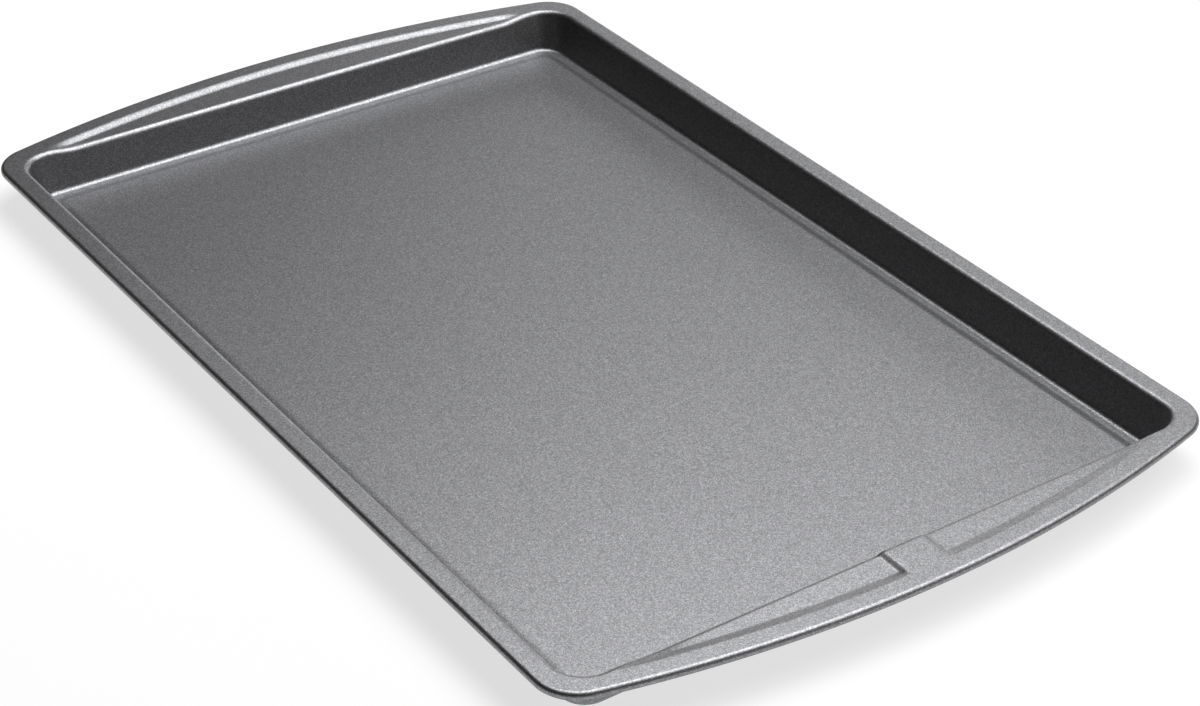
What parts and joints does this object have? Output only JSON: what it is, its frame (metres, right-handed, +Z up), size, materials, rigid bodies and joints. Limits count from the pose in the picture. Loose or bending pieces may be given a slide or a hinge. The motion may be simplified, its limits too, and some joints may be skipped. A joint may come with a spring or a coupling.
{
  "type": "sheet pan",
  "caption": "Shallow rectangular baking sheet pan of coated sheet steel with a raised floor panel, leaning walls, rolled rim and bowed end handles with pressed recesses.",
  "frame": {"origin": "middle of the pan in plan, on the table it stands on", "axes": "+Z up, +Y along the pan towards the handle without a tab, +X across the pan"},
  "size_m": [0.2974, 0.4824, 0.0184],
  "materials": {
    "coated_steel": "dark grey non-stick coating with fine metallic flecks, half gloss",
    "wire_steel": "plain drawn wire"
  },
  "bodies": {
    "root": {"pan_body": "coated_steel", "rim_wire": "wire_steel"}
  },
  "joints": []
}
